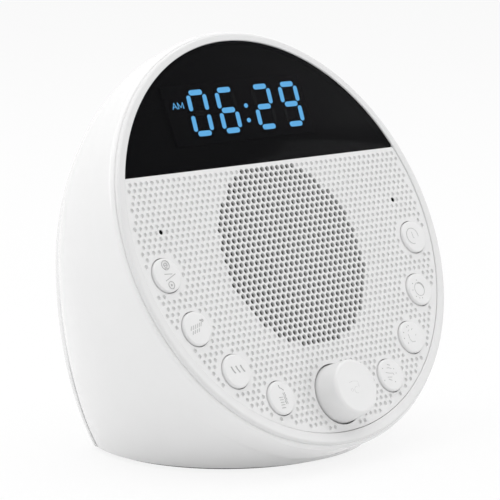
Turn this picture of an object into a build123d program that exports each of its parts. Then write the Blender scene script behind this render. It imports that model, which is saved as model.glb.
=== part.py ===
"""White noise sound machine with a clock display.

A round face leans back in a short drum.  Behind it the shell runs in a fan of ovals to an upright
seam, where a shallow domed cover closes it, and the whole stands on a flat foot.
Millimetres, +Z up, the face looks towards -Y, the origin is on the table under the middle.
"""

from build123d import *
from math import atan, cos, degrees, radians, sin
import os

os.makedirs("parts", exist_ok=True)

# ---- driving dimensions ----------------------------------------------------------------------
TILT = 24.5  # the face leans back from the vertical, degrees
FACE_CENTRE = (0, -12.5, 62.2)
RIM_R = 61.0  # the drum behind the bezel
RIM_DROP = 0.45  # drum and bezel lie this much lower than the plate's circle
RIM_ROUND = 1.2
WALL = 2.2
DRUM_FRONT = -1.0  # depths are along the face's normal, 0 at the plate's front
DRUM_REAR = -10.5

SEAM_Y = 28.5  # upright plane where shell and rear cover meet
SEAM_HALF_WIDTH = 48.0
SEAM_UP = 55.0  # oval's half heights above and below its widest line
SEAM_DOWN = 76.2
SEAM_WIDEST = 73.2  # widest line, below the hinge line of the fan
COVER_DEPTH = 13.5
FAN_STEPS = 4
FAN_TAPER = 2.5  # even part of the loss in half width between drum and seam
FAN_WIDTH_POWER = 3.0
FAN_TOP_POWER = 1.27
FAN_SWELL = 24.0  # how steeply the underside starts from the drum

SHELL_FOOT = 1.0  # gap under the shell, filled by the foot pad
BASE_TOP = 3.4
PAD_INSET = 1.6

# front of the machine
GLASS_R = 57.1  # plate and lens share one circle
CHORD_Y = 21.0  # where the lens meets the plate
CHORD_GAP = 0.15
PLATE_T = 2.2
BEZEL_BORE_R = 57.35
BEZEL_R = 59.95
BEZEL_TOP = 0.4
BEZEL_REAR = -0.95
BEZEL_ROUND = 0.8
BORE_ROUND = 0.35
LEDGE_R = 55.6
SPIGOT_R = 58.7
SPIGOT_REAR = -6.0
BAR_Y = (20.0, 27.0)  # bar of the bezel behind the joint of plate and lens
ARCH_R = 29.4  # its arch over the loudspeaker

# perforation: a hexagonal grid of round holes in front of the loudspeaker
GRID_PITCH = 2.0
GRID_ROW = GRID_PITCH * sin(radians(60))
GRID_Y0 = -8.55
HOLE_R = 0.76
SPEAKER_Y = -5.7
FIELD_R = 26.8
FIELD_POCKET_R = 28.0  # the plate is thin over the field
FIELD_T = 0.9
FIELD_MARGIN = 1.3  # from the chord to the middles of the nearest holes
PIN_HOLE_R = 0.6
PIN_HOLE = (46.2, 5.4)

# buttons
KEY_CIRCLE_R = 49.7
KEY_FIRST = -7.5  # degrees from the horizontal, both sides
KEY_STEP = -18.73
KEY_COUNT = 4
KEY_HOLE_R = 4.95
KEY_R = 4.7
KEY_PROUD = 0.9
KEY_ROUND = 0.6
KEY_FLANGE_R = 5.5
KEY_FLANGE = (-3.2, -2.4)
KEY_STEM_R = 2.2
PLUNGER_TOP = -4.6

# knob and its encoder
KNOB_Y = -46.6
KNOB_HOLE_R = 8.7
KNOB_R = 8.4
KNOB_TOP_R = 7.8
KNOB_TOP = 7.6
KNOB_FOOT = -1.5
SHAFT_R = 3.0
SHAFT_TOP = 5.5
RUNNING = 0.05

# boards
BOARD_FRONT = -9.0
BOARD_T = 1.6
BOARD_R = 53.8
KEY_BOARD_TOP_Y = 16.0
BOARD_CUT_R = 33.5
KEY_POSTS = [(42.1, -12.8), (25.7, -35.7), (40.0, 12.0)]  # and their mirror images
DISPLAY_POST = (40.0, 23.5)
POST_R = 2.4
PILOT_R = 0.9
SCREW_HEAD_R = 2.0
SCREW_HEAD_T = 1.6

# display, digits of 14 mm
DIGIT_X = [-17.6, -6.6, 7.7, 18.7]
DIGIT_Y = 37.5
DIGIT_W = 6.1  # between the middles of the left and right bars
DIGIT_H = 11.9  # between the middles of the top and bottom bars
SLANT = 0.093
BAR_T = 1.6
LEVEL_BAR = 5.3
UPRIGHT_BAR = 4.65
COLON = [(0.75, 38.3), (0.1, 34.0)]
HALF_DAY = [(-25.2, 40.0), (-25.2, 34.6)]  # windows for the two half-day marks
DISPLAY_X = (-29.4, 24.6)
DISPLAY_Y = (28.6, 46.0)
DISPLAY_FRONT = -1.42
BAR_FRONT = -1.14

# loudspeaker, 2 inch
EAR_R = 31.5
CLOTH_REAR = -2.5
FLANGE_REAR = -4.5
FLANGE_FRONT = -3.5
MOTOR_FRONT = -15.5
MAGNET = (-23.5, -17.5)
YOKE_REAR = -26.0

# rear cover and main board, upright
COVER_POSTS_X = 34.0
COVER_POSTS_Z = [78.0, 20.0]
HEAD_SEAT_Y = SEAM_Y + 2.2
MAIN_BOARD_Y = (30.1, 31.7)
MAIN_BOARD_Z = (14.0, 64.0)
MAIN_BOARD_HALF = 26.0
BOARD_HOLES = [(22.0, 18.0), (22.0, 60.0)]
SOCKET_Z = 24.0
SOCKET_MOUTH_Y = 40.6
BASE_POSTS = [(31.0, 13.0), (-31.0, 13.0), (0.0, -16.5)]
BASE_RIBS = [(37.0, 13.0, 12.0, 1.6), (-37.0, 13.0, 12.0, 1.6), (0.0, -22.8, 1.6, 12.4)]
RIB_TOP = 7.5

FACE = Plane(
    origin=FACE_CENTRE,
    x_dir=(1, 0, 0),
    z_dir=(0, -cos(radians(TILT)), sin(radians(TILT))),
)

# The sections of the shell all turn about one level line above and behind the drum.
DRUM_MIDDLE = FACE.origin + FACE.z_dir * DRUM_REAR - FACE.y_dir * RIM_DROP
HINGE_REACH = (SEAM_Y - DRUM_MIDDLE.Y) / FACE.y_dir.Y
HINGE = DRUM_MIDDLE + FACE.y_dir * HINGE_REACH
WIDEST_Z = HINGE.Z - SEAM_WIDEST


# ---- small helpers ---------------------------------------------------------------------------
def rod(radius, low, high):
    return Pos(0, 0, (low + high) / 2) * Cylinder(radius, high - low)


def tube(outer, inner, low, high):
    return rod(outer, low, high) - rod(inner, low, high)


def block(width, height, low, high):
    return Pos(0, 0, (low + high) / 2) * Box(width, height, high - low)


def lathe(points):
    return revolve(Plane.XZ * make_face(Polyline(*points, close=True)), Axis.Z)


def on_face(shape, x=0, y=0):
    return FACE * Pos(x, y, 0) * shape


def rear_rod(radius, x, z, front, rear):
    """A round post or hole along Y."""
    return Pos(x, (front + rear) / 2, z) * Rot(90, 0, 0) * Cylinder(radius, rear - front)


def upright_box(x, z, width, height, front, rear):
    return Pos(x, (front + rear) / 2, z) * Box(width, rear - front, height)


def between(low, high):
    """A level slab, wider than the machine."""
    return Pos(0, 0, (low + high) / 2) * Box(4 * RIM_R, 4 * RIM_R, high - low)


def both_sides(places):
    return places + [(-x, y) for x, y in places]


def group(shapes):
    return Part() + list(shapes)


def screw(head_r, head_t, shaft_r, length):
    """Head below z = 0, shaft above it."""
    return rod(head_r, -head_t, 0) + rod(shaft_r, 0, length)


# ---- outer form ------------------------------------------------------------------------------
def fan_section(turn, inset):
    """Oval of the shell, turn 0 at the drum's rear circle and 1 at the seam."""
    half = RIM_R - FAN_TAPER * turn
    half -= (RIM_R - FAN_TAPER - SEAM_HALF_WIDTH) * turn**FAN_WIDTH_POWER
    up = RIM_R - (RIM_R - SEAM_UP) * turn**FAN_TOP_POWER
    down = RIM_R + FAN_SWELL * turn + (SEAM_DOWN - RIM_R - FAN_SWELL) * turn**2
    reach = HINGE_REACH + (SEAM_WIDEST - HINGE_REACH) * turn
    lean = radians(TILT * (1 - turn))
    rise = Vector(0, sin(lean), cos(lean))
    outline = Wire(
        [
            EllipticalCenterArc((0, 0), half - inset, up - inset, 0, arc_size=180),
            EllipticalCenterArc((0, 0), half - inset, down - inset, 180, arc_size=180),
        ]
    )
    plane = Plane(HINGE - rise * reach, x_dir=(1, 0, 0), z_dir=(0, -cos(lean), sin(lean)))
    return plane * Face(outline)


def shell_form(inset=0.0, front=DRUM_FRONT, edge=0.0):
    """Solid of the drum and the fan behind it."""
    drum = rod(RIM_R - inset, DRUM_REAR, front)
    if edge:
        drum = fillet(drum.edges().sort_by(Axis.Z)[-1], edge)
    fan = loft([fan_section(step / FAN_STEPS, inset) for step in range(FAN_STEPS + 1)])
    return on_face(drum, 0, -RIM_DROP) + fan


def cover_form(inset=0.0):
    """Solid dome behind the seam: an upper and a lower quarter of two ellipsoids."""
    quarter = make_face([Line((0, 0), (1, 0)), CenterArc((0, 0), 1, 0, 90), Line((0, 1), (0, 0))])
    lower = revolve(quarter, Axis.Y, 180)
    upper = Rot(0, 180, 0) * lower
    wide, deep = SEAM_HALF_WIDTH - inset, COVER_DEPTH - inset
    dome = scale(upper, by=(wide, deep, SEAM_UP - inset))
    dome += scale(lower, by=(wide, deep, SEAM_DOWN - inset))
    return Pos(0, SEAM_Y, WIDEST_Z) * dome


def foot_slab(inset, low, high):
    """Slice of the whole form near the table."""
    return (shell_form(inset, 0) + cover_form(inset)) & between(low, high)


# ---- housing ---------------------------------------------------------------------------------
def cover_post_places():
    return [(side * COVER_POSTS_X, z) for side in (-1, 1) for z in COVER_POSTS_Z]


def main_shell():
    solid = shell_form(edge=RIM_ROUND)
    shell = solid - shell_form(WALL, 0)
    posts = [rear_rod(3.6, x, z, SEAM_Y - 10, SEAM_Y) for x, z in cover_post_places()]
    posts += [
        upright_box(side * (COVER_POSTS_X + 10), z, 20, 1.6, SEAM_Y - 10, SEAM_Y - 2.3)
        for side in (-1, 1)
        for z in COVER_POSTS_Z
    ]
    posts += [Pos(x, y, 0) * rod(3.2, BASE_TOP, 10) for x, y in BASE_POSTS]
    posts += [Pos(x, y) * block(wide, deep, BASE_TOP, RIB_TOP) for x, y, wide, deep in BASE_RIBS]
    shell += group(posts) & solid
    pilots = [rear_rod(1.3, x, z, SEAM_Y - 9, SEAM_Y) for x, z in cover_post_places()]
    pilots += [Pos(x, y, 0) * rod(1.2, BASE_TOP, 9.4) for x, y in BASE_POSTS]
    return (shell - pilots) & between(SHELL_FOOT, 4 * RIM_R)


def cover_lip():
    """Tongue of the cover that enters the shell."""
    outer = Wire(fan_section(1, WALL + 0.2).outer_wire())
    inner = Wire(fan_section(1, WALL + 1.4).outer_wire())
    ring = extrude(Face(outer, [inner]), amount=2, dir=(0, -1, 0))
    ring += extrude(Face(outer, [inner]), amount=2.5, dir=(0, 1, 0))
    room = [rear_rod(4.0, x, z, SEAM_Y - 3, SEAM_Y) for x, z in cover_post_places()]
    return (ring - room) & between(BASE_TOP + 1.6, 4 * RIM_R)


def rear_cover():
    solid = cover_form()
    cover = solid - cover_form(WALL) + (cover_lip() & (solid + shell_form(WALL)))
    posts = [rear_rod(4.4, x, z, SEAM_Y, SEAM_Y + COVER_DEPTH) for x, z in cover_post_places()]
    posts += [
        rear_rod(2.6, x, z, MAIN_BOARD_Y[1], SEAM_Y + COVER_DEPTH) for x, z in both_sides(BOARD_HOLES)
    ]
    cover += group(posts) & solid
    holes = [rear_rod(1.5, x, z, SEAM_Y, HEAD_SEAT_Y) for x, z in cover_post_places()]
    holes += [
        rear_rod(3.1, x, z, HEAD_SEAT_Y, SEAM_Y + COVER_DEPTH) for x, z in cover_post_places()
    ]
    holes += [
        rear_rod(PILOT_R, x, z, MAIN_BOARD_Y[1], MAIN_BOARD_Y[1] + 4.4)
        for x, z in both_sides(BOARD_HOLES)
    ]
    mouth = Plane.XZ * SlotOverall(9.6, 3.9)
    holes += [Pos(0, SEAM_Y + 2 * COVER_DEPTH, SOCKET_Z) * extrude(mouth, 2 * COVER_DEPTH - 4)]
    return (cover - holes) & between(SHELL_FOOT, 4 * RIM_R)


def rear_screws():
    one = screw(2.8, 1.8, 1.3, 10.4)
    turned = Rot(90, 0, 0) * one
    return group(Pos(x, HEAD_SEAT_Y, z) * turned for x, z in cover_post_places())


def base_plate():
    plate = foot_slab(WALL + 0.15, SHELL_FOOT, BASE_TOP)
    for x, y in BASE_POSTS:
        plate -= Pos(x, y, 0) * (rod(1.4, 0, BASE_TOP) + rod(2.6, 0, SHELL_FOOT + 1.2))
    return plate


def base_screws():
    one = screw(2.4, 1.1, 1.2, 7)
    return group(Pos(x, y, SHELL_FOOT + 1.2) * one for x, y in BASE_POSTS)


def foot_pad():
    return foot_slab(PAD_INSET, 0, SHELL_FOOT)


# ---- front -----------------------------------------------------------------------------------
def front_bezel():
    lip = rod(BEZEL_R, BEZEL_REAR, BEZEL_TOP)
    lip = fillet(lip.edges().sort_by(Axis.Z)[-1], BEZEL_ROUND)
    lip += rod(SPIGOT_R, SPIGOT_REAR, BEZEL_REAR)
    bezel = Pos(0, -RIM_DROP) * lip - rod(BEZEL_BORE_R, -PLATE_T, BEZEL_TOP)
    mouth = bezel.edges().group_by(Axis.Z)[-1].sort_by(SortBy.RADIUS)[0]
    bezel = fillet(mouth, BORE_ROUND) - rod(LEDGE_R, SPIGOT_REAR, 0)
    low, high = BAR_Y
    bar = Pos(0, (low + high) / 2) * block(2.2 * LEDGE_R, high - low, SPIGOT_REAR, -PLATE_T)
    bezel += bar & rod(LEDGE_R + 1, SPIGOT_REAR, 0)
    bezel -= Pos(0, SPEAKER_Y) * rod(ARCH_R, SPIGOT_REAR, -PLATE_T)
    for x, y in both_sides([DISPLAY_POST]):
        bezel += Pos(x, y, 0) * rod(POST_R, BOARD_FRONT, SPIGOT_REAR)
        bezel -= Pos(x, y, 0) * rod(PILOT_R, BOARD_FRONT, BOARD_FRONT + 4.5)
    return on_face(bezel)


def key_places():
    """Name, x and y of each button."""
    places = []
    for side, sign in (("right", 1), ("left", -1)):
        for number in range(KEY_COUNT):
            angle = radians(KEY_FIRST + KEY_STEP * number)
            x, y = KEY_CIRCLE_R * cos(angle), KEY_CIRCLE_R * sin(angle)
            places.append((f"{side}_{number + 1}", sign * x, y))
    return places


def field_sites():
    """Sites of the grid inside the loudspeaker's field."""
    reach = int(2 * FIELD_R / GRID_PITCH)
    sites = []
    for row in range(-reach, reach + 1):
        for column in range(-reach, reach + 1):
            x = GRID_PITCH * (column + row / 2)
            y = GRID_Y0 + GRID_ROW * row
            if x**2 + (y - SPEAKER_Y) ** 2 < FIELD_R**2 and y < CHORD_Y - FIELD_MARGIN:
                sites.append((x, y))
    return sites


def ear_places():
    reach = EAR_R * cos(radians(45))
    return [(sx * reach, SPEAKER_Y + sy * reach) for sx in (-1, 1) for sy in (-1, 1)]


def grille_plate():
    outline = Circle(GLASS_R) - Pos(0, CHORD_Y + GLASS_R) * Rectangle(2 * GLASS_R, 2 * GLASS_R)
    outline -= [Pos(x, y) * Circle(KEY_HOLE_R) for _, x, y in key_places()]
    outline -= Pos(0, KNOB_Y) * Circle(KNOB_HOLE_R)
    outline -= [Pos(x, y) * Circle(PIN_HOLE_R) for x, y in both_sides([PIN_HOLE])]
    border = outline.face()
    holes = [Wire.make_circle(HOLE_R, Plane((x, y))) for x, y in field_sites()]
    sheet = Face(border.outer_wire(), [*border.inner_wires(), *holes])
    thick = outline - Pos(0, SPEAKER_Y) * Circle(FIELD_POCKET_R)
    plate = Pos(0, 0, -FIELD_T) * extrude(sheet, FIELD_T, dir=(0, 0, 1))
    plate += Pos(0, 0, -PLATE_T) * extrude(thick, PLATE_T - FIELD_T)
    posts = [Pos(x, y) * rod(POST_R, BOARD_FRONT, -PLATE_T) for x, y in both_sides(KEY_POSTS)]
    posts += [Pos(x, y) * rod(POST_R, FLANGE_FRONT, -PLATE_T) for x, y in ear_places()]
    pilots = [
        Pos(x, y) * rod(PILOT_R, BOARD_FRONT, BOARD_FRONT + 4.5) for x, y in both_sides(KEY_POSTS)
    ]
    pilots += [Pos(x, y) * rod(PILOT_R, FLANGE_FRONT, -1.0) for x, y in ear_places()]
    return on_face(plate + posts - pilots)


def display_lens():
    segment = Circle(GLASS_R) & Pos(0, CHORD_Y + CHORD_GAP + GLASS_R) * Rectangle(
        2 * GLASS_R, 2 * GLASS_R
    )
    segment = fillet(segment.vertices(), 1.0)
    lens = Pos(0, 0, -PLATE_T) * extrude(segment, PLATE_T)
    return on_face(lens - display_block(0.2, DISPLAY_FRONT + 0.3))


def grille_cloth():
    return on_face(rod(28.9, CLOTH_REAR, -PLATE_T), 0, SPEAKER_Y)


def button_cap(x, y):
    cap = rod(KEY_R, KEY_FLANGE[1], KEY_PROUD)
    cap = fillet(cap.edges().sort_by(Axis.Z)[-1], KEY_ROUND)
    cap += rod(KEY_FLANGE_R, *KEY_FLANGE)
    cap += rod(KEY_STEM_R, PLUNGER_TOP, KEY_FLANGE[0])
    return on_face(cap, x, y)


def switch_plunger(x, y):
    return on_face(rod(1.75, -6.9, PLUNGER_TOP), x, y)


def tact_switches():
    body = block(6, 6, BOARD_FRONT, -5.4) - rod(1.9, -7.6, -5.4)
    return group(on_face(body, x, y) for _, x, y in key_places())


# ---- knob ------------------------------------------------------------------------------------
def flat_side(low, high):
    """What is cut from a round shaft to leave its driving flat."""
    return Pos(SHAFT_R + 1.5, 0, 0) * block(2 * SHAFT_R, 4 * SHAFT_R, low, high)


def volume_knob():
    knob = lathe([(0, KNOB_FOOT), (KNOB_R, KNOB_FOOT), (KNOB_TOP_R, KNOB_TOP), (0, KNOB_TOP)])
    knob = fillet(knob.edges().sort_by(Axis.Z)[-1], 1.0)
    hub_low, hub_high = 1.6, KNOB_TOP - 1.8
    knob -= rod(6.7, KNOB_FOOT, hub_high)
    knob += rod(4.3, hub_low, hub_high)
    knob -= rod(SHAFT_R, hub_low, SHAFT_TOP) - flat_side(hub_low, SHAFT_TOP)
    return on_face(knob, 0, KNOB_Y)


def encoder_shaft():
    shaft = rod(SHAFT_R, -7.0, SHAFT_TOP) - flat_side(1.5, SHAFT_TOP)
    shaft += rod(3.9, -5.0, -4.2)
    return on_face(shaft, 0, KNOB_Y)


def encoder_body():
    body = block(12, 12, BOARD_FRONT, -2.6) + rod(3.5, -2.6, 0.9)
    body -= rod(SHAFT_R + RUNNING, -3.6, 0.9)
    body -= rod(4.2, -8.5, -3.6)
    return on_face(body, 0, KNOB_Y)


def encoder_plunger():
    return on_face(rod(2.0, -7.8, -7.0), 0, KNOB_Y)


# ---- boards on the front ---------------------------------------------------------------------
def front_board(outline, holes):
    outline -= [Pos(x, y) * Circle(1.1) for x, y in holes]
    return on_face(Pos(0, 0, BOARD_FRONT - BOARD_T) * extrude(outline, BOARD_T))


def key_board():
    side = 2 * BOARD_R
    outline = Circle(BOARD_R) & Pos(0, KEY_BOARD_TOP_Y - BOARD_R) * Rectangle(side, side)
    outline -= Pos(0, SPEAKER_Y) * Circle(BOARD_CUT_R)
    return front_board(outline, both_sides(KEY_POSTS))


def display_board():
    side = 2 * BOARD_R
    outline = Circle(BOARD_R) & Pos(0, KEY_BOARD_TOP_Y + 3 + BOARD_R) * Rectangle(side, side)
    return front_board(outline, both_sides([DISPLAY_POST]))


def board_screws():
    one = Pos(0, 0, BOARD_FRONT - BOARD_T) * screw(SCREW_HEAD_R, SCREW_HEAD_T, PILOT_R, 5.5)
    return group(on_face(one, x, y) for x, y in both_sides(KEY_POSTS + [DISPLAY_POST]))


def microphone():
    return on_face(rod(2.2, BOARD_FRONT, -5.6) + rod(1.2, -5.6, -2.6), -PIN_HOLE[0], PIN_HOLE[1])


def light_sensor():
    lens = rod(1.5, BOARD_FRONT, -4.0) + Pos(0, 0, -4.0) * Sphere(1.5)
    return on_face(lens, *PIN_HOLE)


def bar(length):
    """One display bar along X with pointed ends."""
    half, thick = length / 2, BAR_T / 2
    points = [(-half, 0), (thick - half, thick), (half - thick, thick), (half, 0)]
    points += [(half - thick, -thick), (thick - half, -thick)]
    return make_face(Polyline(*points, close=True))


def digit_bars(x):
    """Seven bars of a digit that leans a little to the right."""
    level = bar(LEVEL_BAR)
    upright = Rot(0, 0, 90 - degrees(atan(SLANT))) * bar(UPRIGHT_BAR)
    bars = [(0, step * DIGIT_H / 2, level) for step in (-1, 0, 1)]
    bars += [
        (side * DIGIT_W / 2, step * DIGIT_H / 4, upright) for side in (-1, 1) for step in (-1, 1)
    ]
    return [Pos(x + across + SLANT * up, DIGIT_Y + up) * shape for across, up, shape in bars]


def led_segments():
    marks = [one for x in DIGIT_X for one in digit_bars(x)]
    marks += [Pos(x, y) * Rectangle(BAR_T, BAR_T) for x, y in COLON]
    marks += [Pos(x, y) * Rectangle(4.4, 2.2) for x, y in HALF_DAY]
    thick = BAR_FRONT - DISPLAY_FRONT
    return group(on_face(Pos(0, 0, DISPLAY_FRONT) * extrude(mark, thick)) for mark in marks)


def display_block(margin, front):
    """Room of the display module, with a margin around it."""
    (left, right), (low, high) = DISPLAY_X, DISPLAY_Y
    shape = block(right - left + 2 * margin, high - low + 2 * margin, BOARD_FRONT, front)
    return Pos((left + right) / 2, (low + high) / 2) * shape


def led_display():
    return on_face(display_block(0, DISPLAY_FRONT))


# ---- loudspeaker -----------------------------------------------------------------------------
def speaker_frame():
    basket = lathe(
        [
            (26.0, FLANGE_FRONT),
            (29.0, FLANGE_FRONT),
            (29.0, FLANGE_REAR),
            (27.0, FLANGE_REAR),
            (15.0, MOTOR_FRONT),
            (8.6, MOTOR_FRONT),
            (8.6, MOTOR_FRONT + 1),
            (14.2, MOTOR_FRONT + 1),
            (26.0, FLANGE_REAR),
        ]
    )
    window = Pos(24, 0, 0) * block(30, 11, MOTOR_FRONT + 2.2, FLANGE_REAR - 1.6)
    basket -= [Rot(0, 0, turn) * window for turn in (0, 90, 180, 270)]
    reach = EAR_R * cos(radians(45))
    for sx in (-1, 1):
        for sy in (-1, 1):
            basket += Pos(sx * reach, sy * reach) * rod(3.0, FLANGE_REAR, FLANGE_FRONT)
            basket -= Pos(sx * reach, sy * reach) * rod(1.1, FLANGE_REAR, FLANGE_FRONT)
    return on_face(basket, 0, SPEAKER_Y)


def speaker_screws():
    one = Pos(0, 0, FLANGE_REAR) * screw(SCREW_HEAD_R, SCREW_HEAD_T, PILOT_R, 3.2)
    return group(on_face(one, x, y) for x, y in ear_places())


def speaker_gasket():
    return on_face(tube(28.9, 27.2, FLANGE_FRONT, CLOTH_REAR), 0, SPEAKER_Y)


def speaker_surround():
    """Half roll that dips between the flange and the cone's rim, with a glued lip."""
    middle, outer, inner = 24.45, 1.55, 1.25
    roll = make_face(
        [
            CenterArc((middle, FLANGE_FRONT), outer, 180, 180),
            Line((middle + outer, FLANGE_FRONT), (27.1, FLANGE_FRONT)),
            Line((27.1, FLANGE_FRONT), (27.1, FLANGE_FRONT + 0.3)),
            Line((27.1, FLANGE_FRONT + 0.3), (middle + inner, FLANGE_FRONT + 0.3)),
            Line((middle + inner, FLANGE_FRONT + 0.3), (middle + inner, FLANGE_FRONT)),
            CenterArc((middle, FLANGE_FRONT), inner, 180, 180),
            Line((middle - inner, FLANGE_FRONT), (middle - outer, FLANGE_FRONT)),
        ]
    )
    return on_face(revolve(Plane.XZ * roll, Axis.Z), 0, SPEAKER_Y)


def speaker_spider():
    """Flat suspension of the voice coil."""
    return on_face(tube(15.45, 7.3, -13.4, -13.1), 0, SPEAKER_Y)


def speaker_cone():
    return on_face(lathe([(7.0, -9.4), (22.65, -4.4), (22.65, -3.8), (7.0, -8.8)]), 0, SPEAKER_Y)


def dust_cap():
    """Cap of a thin sphere whose rim stands on the cone."""
    rim_r, rim_z, rise, thick = 8.6, -8.28, 3.0, 0.4
    radius = (rim_r**2 + rise**2) / (2 * rise)
    centre = rim_z + rise - radius
    ball = Pos(0, 0, centre) * (Sphere(radius) - Sphere(radius - thick))
    return on_face(ball & rod(2 * rim_r, rim_z, rim_z + 2 * rise), 0, SPEAKER_Y)


def voice_coil():
    return on_face(tube(7.0, 6.6, -17.5, -8.8), 0, SPEAKER_Y)


def speaker_magnet():
    return on_face(tube(16.0, 8.5, *MAGNET), 0, SPEAKER_Y)


def motor_plates():
    plates = tube(14.0, 7.3, MAGNET[1], MOTOR_FRONT)
    yoke = rod(14.0, YOKE_REAR, MAGNET[0]) + rod(6.3, MAGNET[0], MOTOR_FRONT)
    return group([on_face(plates, 0, SPEAKER_Y), on_face(yoke, 0, SPEAKER_Y)])


def speaker_leads():
    """Two wires from the flange to the main board."""
    wires = []
    for drop in (0, 2.5):
        start = FACE * Pos(-28.0, SPEAKER_Y - drop, FLANGE_REAR)
        end = Vector(-24, MAIN_BOARD_Y[0], 50 - drop)
        corners = [start.position - 9 * FACE.z_dir, end - (0, 9, 0)]
        path = FilletPolyline(start.position, *corners, end, radius=5)
        wires.append(sweep(Plane(start.position, z_dir=-FACE.z_dir) * Circle(0.6), path=path))
    return group(wires)


# ---- main board ------------------------------------------------------------------------------
def main_board():
    low, high = MAIN_BOARD_Z
    board = upright_box(0, (low + high) / 2, 2 * MAIN_BOARD_HALF, high - low, *MAIN_BOARD_Y)
    return board - [rear_rod(1.1, x, z, *MAIN_BOARD_Y) for x, z in both_sides(BOARD_HOLES)]


def main_board_screws():
    one = Rot(-90, 0, 0) * screw(SCREW_HEAD_R, SCREW_HEAD_T, PILOT_R, 5.5)
    return group(Pos(x, MAIN_BOARD_Y[0], z) * one for x, z in both_sides(BOARD_HOLES))


def usb_slot(width, height, front, rear):
    profile = Plane.XZ * SlotOverall(width, height)
    return Pos(0, rear, SOCKET_Z) * extrude(profile, rear - front)


def usb_socket():
    shell = usb_slot(8.94, 3.26, MAIN_BOARD_Y[1], SOCKET_MOUTH_Y)
    return shell - usb_slot(8.34, 2.66, MAIN_BOARD_Y[1] + 1.5, SOCKET_MOUTH_Y)


def usb_tongue():
    return upright_box(0, SOCKET_Z, 6.7, 0.7, MAIN_BOARD_Y[1] + 1.5, SOCKET_MOUTH_Y - 1.2)


def cell_holder():
    cup = rear_rod(11.2, 12, 48, 25.6, MAIN_BOARD_Y[0])
    return cup - rear_rod(10.1, 12, 48, 25.6, MAIN_BOARD_Y[0] - 1)


def coin_cell():
    return rear_rod(10.0, 12, 48, 25.9, MAIN_BOARD_Y[0] - 1)


def board_components():
    face = MAIN_BOARD_Y[0]
    chips = [(-12, 52, 9, 1.2), (-12, 38, 7, 1.0), (-14, 27, 5, 1.5)]
    parts = [upright_box(x, z, side, side, face - tall, face) for x, z, side, tall in chips]
    parts += [rear_rod(3.2, x, 29, face - 9, face) for x in (6, 14)]
    return group(parts)


# ---- flat cables -----------------------------------------------------------------------------
def flat_cable(plane, points, bend, width):
    """Strip along a bent line that lies in the given plane, centred across it."""
    line = FilletPolyline(*points, radius=bend)
    strip = trace(line, line_width=0.3)
    return plane * extrude(strip, amount=width / 2, both=True)


def display_ribbon():
    rear = BOARD_FRONT - BOARD_T
    side_view = Plane(FACE.origin + FACE.x_dir * 32, x_dir=FACE.y_dir, z_dir=FACE.x_dir)
    points = [(14.5, rear), (14.5, rear - 3), (20.5, rear - 3), (20.5, rear)]
    return flat_cable(side_view, points, 1.2, 8)


def main_ribbon():
    start = FACE.origin + FACE.y_dir * -44 + FACE.z_dir * (BOARD_FRONT - BOARD_T)
    bend = start - FACE.z_dir * 5
    side_view = Plane(origin=(-14, 0, 0), x_dir=(0, 1, 0), z_dir=(1, 0, 0))
    points = [(start.Y, start.Z), (bend.Y, bend.Z), (8, 14), (22, 20), (MAIN_BOARD_Y[0], 20)]
    return flat_cable(side_view, points, 2.5, 10)


# ---- write the nodes -------------------------------------------------------------------------
makers = [
    main_shell,
    rear_cover,
    rear_screws,
    base_plate,
    base_screws,
    foot_pad,
    front_bezel,
    grille_plate,
    display_lens,
    grille_cloth,
    tact_switches,
    volume_knob,
    encoder_shaft,
    encoder_body,
    encoder_plunger,
    key_board,
    display_board,
    board_screws,
    microphone,
    light_sensor,
    led_display,
    led_segments,
    speaker_frame,
    speaker_screws,
    speaker_gasket,
    speaker_surround,
    speaker_spider,
    speaker_cone,
    dust_cap,
    voice_coil,
    speaker_magnet,
    motor_plates,
    speaker_leads,
    main_board,
    main_board_screws,
    usb_socket,
    usb_tongue,
    cell_holder,
    coin_cell,
    board_components,
    display_ribbon,
    main_ribbon,
]
nodes = {maker.__name__: maker() for maker in makers}
for name, x, y in key_places():
    nodes[f"button_{name}"] = button_cap(x, y)
    nodes[f"plunger_{name}"] = switch_plunger(x, y)

for name, shape in nodes.items():
    export_step(shape, f"parts/{name}.step")
print(len(nodes), "nodes")
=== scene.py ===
from math import cos, pi, radians, sin

import bmesh
import bpy
from mathutils import Matrix, Vector


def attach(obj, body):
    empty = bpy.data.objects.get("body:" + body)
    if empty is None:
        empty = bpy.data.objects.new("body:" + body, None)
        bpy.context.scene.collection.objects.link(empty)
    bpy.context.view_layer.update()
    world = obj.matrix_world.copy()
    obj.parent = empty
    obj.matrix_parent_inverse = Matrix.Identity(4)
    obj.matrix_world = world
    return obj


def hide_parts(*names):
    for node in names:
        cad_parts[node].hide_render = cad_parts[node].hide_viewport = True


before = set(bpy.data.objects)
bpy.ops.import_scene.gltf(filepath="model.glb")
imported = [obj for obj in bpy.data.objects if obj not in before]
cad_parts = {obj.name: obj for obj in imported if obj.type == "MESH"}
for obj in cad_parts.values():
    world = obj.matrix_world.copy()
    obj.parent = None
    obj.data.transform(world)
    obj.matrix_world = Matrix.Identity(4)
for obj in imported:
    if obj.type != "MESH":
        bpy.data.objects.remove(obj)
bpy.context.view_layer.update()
print("frame loaded:", len(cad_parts), "nodes")

mm = 0.001  # every piece is drawn in millimetres and scaled when it is placed
scene = bpy.context.scene


# the leaning face: x right, y up the face, z out of it, 0 at the front of the plate
lean = {"centre": (0, -12.5, 62.2), "tilt": radians(24.5)}


def faceMatrix():
    x, y, z = lean["centre"]
    s, c = sin(lean["tilt"]), cos(lean["tilt"])
    return Matrix(((1, 0, 0, x), (0, s, -c, y), (0, c, s, z), (0, 0, 0, 1)))


face = faceMatrix()
level = Matrix.Identity(4)


def onFace(x, y):
    return face @ Matrix.Translation((x, y, 0))


# rays that see the plain white backdrop: straight, in a reflection or through a clear piece
backdropRays = ("Camera", "Glossy", "Transmission")


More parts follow.
